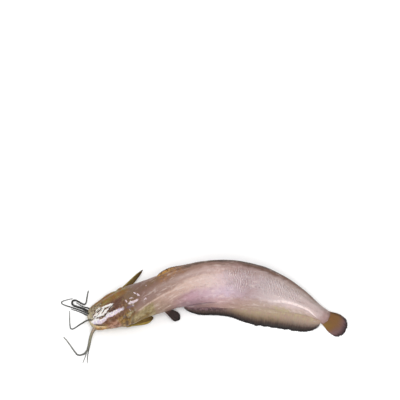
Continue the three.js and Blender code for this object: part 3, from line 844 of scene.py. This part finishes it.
def paddle(name, root, tip, across, half, narrow, taper, thick, spine):
    start = lay(*root)
    end = 0.001 * Vector((tip[0] - FOOTPRINT_MIDDLE[0], tip[1] - FOOTPRINT_MIDDLE[1], tip[2]))
    ahead = (end - start).normalized()
    wide = Vector(across)
    wide = (wide - ahead * wide.dot(ahead)).normalized()
    up = ahead.cross(wide)

    def place(u, rise, face):
        span = 2 * u - 1
        reach = rise * (1 - 0.16 * abs(span) ** 3 - 0.05 * noise.noise(Vector((span * 3, 1, 1))))
        spread = ease(reach, 0, 0.75)
        width = half * between(narrow, 1, spread) * rounding(1.03 - reach, taper)
        ray = (0.5 + 0.5 * math.sin(2 * math.pi * PADDLE_RAYS * u)) ** 2
        body_thick = (0.55 + 0.35 * ray) * (1 - 0.5 * rise) + 0.4 * thick * (1 - ease(rise, 0, 0.35))
        body_thick += 0.75 * thick * hump(span - 0.88 * spine, 0.16) * (1 - 0.5 * rise) * abs(spine)
        body_thick *= math.sqrt(max(0, 1 - abs(span) ** 8)) + 0.02
        wave = 0.5 * rise * noise.noise(Vector((span * 2, rise * 3, half)))
        point = start + ahead * (reach * (end - start).length)
        point += 0.001 * (wide * span * width + up * (wave + 0.5 * face * body_thick))
        return press(point), Vector((PADDLE_RAYS * u, rise, span))

    return blade(name, PADDLE_STEPS, PADDLE_SIDES, place)


for name, sizes in PAIRED.items():
    fin = paddle(name, **sizes)
    pelvic = "pelvic" in name
    fin.data.materials.append(pelvic_skin if pelvic else pectoral_skin)
    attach(fin, "root")
    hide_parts(name + "_fin")

# ---- Barbels -------------------------------------------------------------------------------------
# Four pairs of soft feelers, grown from the nostrils, the mouth's corners and the chin. They are
# stout and skin coloured at the root, thin and slate grey at the tip, and lie where they fell.
BARBELS = {
    "left_nasal": dict(
        root=(5, 6.5, 5.5), thick=1.2, dark=0.8,
        route=[
            (0.1, 10.8, 12), (-4.4, 12, 4.5), (-12.5, 8.3), (-19.8, 3), (-23.6, 1), (-26.3, 1.9),
            (-27.3, 6.1), (-28, 15.9), (-28.3, 30),
        ],
    ),
    "right_nasal": dict(
        root=(5, -6.5, 5.5), thick=1.2, dark=1,
        route=[
            (-0.7, 22.1, 9.5), (-5.1, 26.5, 3.2), (-10.3, 29.8), (-16.9, 32.4), (-23.5, 34.7),
            (-29.7, 37), (-36, 39.3), (-39.9, 41.6), (-40.1, 44.7), (-36, 46.6), (-29.7, 48.5),
            (-23.8, 49.9),
        ],
    ),
    "left_maxillary": dict(
        root=(6, 15.5, -1), thick=1.7, dark=0,
        route=[
            (6.5, -5.1, 9.5), (4.8, -8.3, 5.2), (2.9, -15.7, 4.2), (1.5, -23.7, 3.9),
            (-0.1, -30.9, 3.7), (-3.1, -36.4, 3.3), (-7.2, -39.2, 1.4), (-12, -40.5),
            (-15.9, -39.6), (-18.6, -36.5), (-27.2, -23.8), (-32.3, -16.5), (-36.8, -11.5),
        ],
    ),
    "right_maxillary": dict(
        root=(4, -15, -1), thick=1.8, dark=1,
        route=[
            (-1.3, 28.1, 4.6), (-5.9, 31.3, 2.4), (-11.7, 34.4), (-17.6, 36.5), (-22.8, 38.7),
            (-25, 42.4), (-23.8, 45.8), (-20.4, 46.8), (-16.1, 44.9), (-10.7, 41.7), (-6.8, 40.1),
            (-4.4, 42.8), (-3.2, 49.7), (-2.1, 57.9), (-1, 62.8),
        ],
    ),
    "left_outer_mandibular": dict(
        root=(11, 13, -6), thick=1.15, dark=0.3,
        route=[
            (7.5, -3.2, 1.4), (5.1, -9.4), (3.5, -16.6), (2.1, -24.7), (0.6, -32.7),
            (-0.6, -40.8), (-1.3, -53.7),
        ],
    ),
    "left_inner_mandibular": dict(
        root=(9, 7, -5), thick=1.05, dark=0.3,
        route=[
            (4.8, -2.6, 1.4), (2.6, -9.3), (1, -16.6), (-0.4, -24.7), (-2.1, -32.7),
            (-3.7, -40.8), (-7.8, -52.9),
        ],
    ),
    "right_inner_mandibular": dict(
        root=(9, -7, -5), thick=1.05, dark=1,
        route=[(-1.3, 22, 1.4), (-7.3, 25.3), (-13.9, 28.5), (-20.6, 31), (-26.4, 33)],
    ),
    "right_outer_mandibular": dict(
        root=(11, -11, -4), thick=1.15, dark=1,
        route=[(-0.3, 33.9, 1.6), (-5.9, 35.8), (-10.7, 38), (-15, 40.8), (-18.9, 43.1)],
    ),
}
TIP_SHARE = 0.45
BARBEL_STEPS, BARBEL_SIDES, CURVE_STEPS = 90, 14, 24

barbel_skin, shade = new_material("barbel skin")
reach_place = shade.node("Attribute", attribute_name="chart", output=1)
reach, dark = shade.node("SeparateXYZ", {0: reach_place}, output=(0, 1))
barbel_place = shade.node("TexCoord", output=3)
mottle = grain(shade, barbel_place, 300, 3)
rings = (reach * 260 + mottle * 9).sine()
stop = reach + (mottle - 0.5) * 0.3
dusky = stop.ease(0.0, 0.1).over(tone("4a4530"), tone("171612"))
dusky = stop.ease(0.5, 1.0).over(dusky, tone("55544f"))
pale = stop.ease(0.02, 0.2).over(tone("a8917f"), tone("86826a"))
pale = stop.ease(0.22, 0.5).over(pale, tone("5b5a55"))
colour = dark.over(stop.ease(0.6, 1.0).over(pale, tone("87867f")), dusky)
colour = (rings.ease(0.2, 1) * 0.25).over(colour, tone("23221f"))
rib = shade.node("Bump", {"Strength": 0.5, "Distance": 0.0003, "Height": rings * 0.4 + mottle})
finish_material(
    shade, Base_Color=colour, Roughness=mottle * 0.2 + 0.35, Normal=rib, Coat_Weight=0.1,
    Coat_Roughness=0.12, Specular_IOR_Level=0.25,
)


def route_curve(points):
    """Dense points on a smooth curve through the route, evenly spaced."""
    ends = [2 * points[0] - points[1], *points, 2 * points[-1] - points[-2]]
    dense = []
    for a, b, c, d in zip(ends, ends[1:], ends[2:], ends[3:]):
        near, mid, far = ((q - p).length ** 0.5 for p, q in ((a, b), (b, c), (c, d)))
        leave = ((b - a) / near - (c - a) / (near + mid) + (c - b) / mid) * mid
        arrive = ((c - b) / mid - (d - b) / (mid + far) + (d - c) / far) * mid
        for k in range(CURVE_STEPS):
            t = k / CURVE_STEPS
            curl = (2 * b - 2 * c + leave + arrive) * t**3
            dense.append(b + leave * t + (3 * c - 3 * b - 2 * leave - arrive) * t**2 + curl)
    dense.append(points[-1])
    travelled = [0]
    for p, q in zip(dense, dense[1:]):
        travelled.append(travelled[-1] + (q - p).length)
    even, i = [], 0
    for k in range(BARBEL_STEPS + 1):
        goal = travelled[-1] * k / BARBEL_STEPS
        while i < len(dense) - 2 and travelled[i + 1] < goal:
            i += 1
        share = (goal - travelled[i]) / (travelled[i + 1] - travelled[i])
        even.append(dense[i].lerp(dense[i + 1], min(share, 1)))
    return even


def barbel(name, root, route, thick, dark):
    points = [lay(*root) * 1000]
    for k, (x, y, *z) in enumerate(route):
        radius = thick * between(1, TIP_SHARE, (k + 1) / len(route))
        height = z[0] if z else radius + 0.05
        points.append(Vector((x - FOOTPRINT_MIDDLE[0], y - FOOTPRINT_MIDDLE[1], height)))
    path = route_curve(points)

    def place(u, v):
        k = round(u * BARBEL_STEPS)
        ahead = (path[min(k + 1, BARBEL_STEPS)] - path[max(k - 1, 0)]).normalized()
        side = ahead.cross(Vector((0, 0, 1))).normalized()
        up = side.cross(ahead)
        share = k / BARBEL_STEPS
        radius = thick * between(1, TIP_SHARE, share) * rounding(1.001 - share, 0.03)
        angle = 2 * math.pi * v
        radius *= 1 + 0.05 * noise.noise(Vector((k / 2, math.cos(angle), math.sin(angle))))
        point = path[k] + radius * (side * math.cos(angle) + up * math.sin(angle))
        return press(0.001 * point, height=0.00005), Vector((share, dark, 0))

    return rolled(name, BARBEL_STEPS, BARBEL_SIDES, place)


for name, sizes in BARBELS.items():
    feeler = barbel(name + "_feeler", **sizes)
    feeler.data.materials.append(barbel_skin)
    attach(feeler, "root")
    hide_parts(name + "_barbel")

# ---- Stage ---------------------------------------------------------------------------------------
# A pale table top in soft white studio light: a large softbox high in front, and a smaller one
# behind that only glints on the wet skin. A long-lens camera looks steeply down on the left flank.
FLOOR_SIZE = 6
shape = bmesh.new()
bmesh.ops.create_grid(shape, x_segments=1, y_segments=1, size=FLOOR_SIZE / 2)
mesh = bpy.data.meshes.new("table_top")
shape.to_mesh(mesh)
shape.free()
table_top = bpy.data.objects.new("table_top", mesh)
bpy.context.collection.objects.link(table_top)
table_surface, shade = new_material("pale table")
cloud = grain(shade, shade.node("TexCoord", output=3), 3, 2)
table_tone = cloud.over((0.96, 0.96, 0.96, 1), (0.93, 0.93, 0.93, 1))
finish_material(shade, Base_Color=table_tone, Roughness=0.9)
table_top.data.materials.append(table_surface)

world = bpy.data.worlds.new("soft studio")
bpy.context.scene.world = world
world.use_nodes = True
daylight = world.node_tree.nodes["Background"]
daylight.inputs["Color"].default_value = (1, 1, 1, 1)
daylight.inputs["Strength"].default_value = 0.85


def lamp(name, place, target, size, power, only_gloss=False):
    light = bpy.data.lights.new(name, "AREA")
    light.shape, light.size, light.size_y, light.energy = "RECTANGLE", *size, power
    holder = bpy.data.objects.new(name, light)
    holder.location = place
    holder.rotation_euler = (Vector(target) - Vector(place)).to_track_quat("-Z", "Y").to_euler()
    holder.visible_diffuse = not only_gloss
    bpy.context.collection.objects.link(holder)


lamp("front_softbox", (-0.05, -0.72, 1.55), (0, 0, 0), (1.3, 1.3), 17)
lamp("window_glint", (-0.13, 0.53, 1.1), (-0.13, 0, 0.03), (0.45, 0.26), 13, only_gloss=True)

camera_data = bpy.data.cameras.new("camera")
camera = bpy.data.objects.new("camera", camera_data)
bpy.context.collection.objects.link(camera)
bpy.context.scene.camera = camera
CAMERA_DISTANCE, CAMERA_ELEVATION, VIEW_WIDTH = 5.0, 65, 0.5872
SENSOR_WIDTH, FISH_NEARER = 36, 0.014
aim = Vector((-0.0056, 0.1865, 0))
slope = math.radians(CAMERA_ELEVATION)
camera.location = aim + CAMERA_DISTANCE * Vector((0, -math.cos(slope), math.sin(slope)))
camera.rotation_euler = (math.pi / 2 - slope, 0, 0)
fish_distance = CAMERA_DISTANCE - aim.y * math.cos(slope) - FISH_NEARER
camera_data.sensor_width = SENSOR_WIDTH
camera_data.lens = SENSOR_WIDTH * fish_distance / VIEW_WIDTH
camera_data.clip_end = 50
bpy.context.scene.view_settings.view_transform = "Standard"
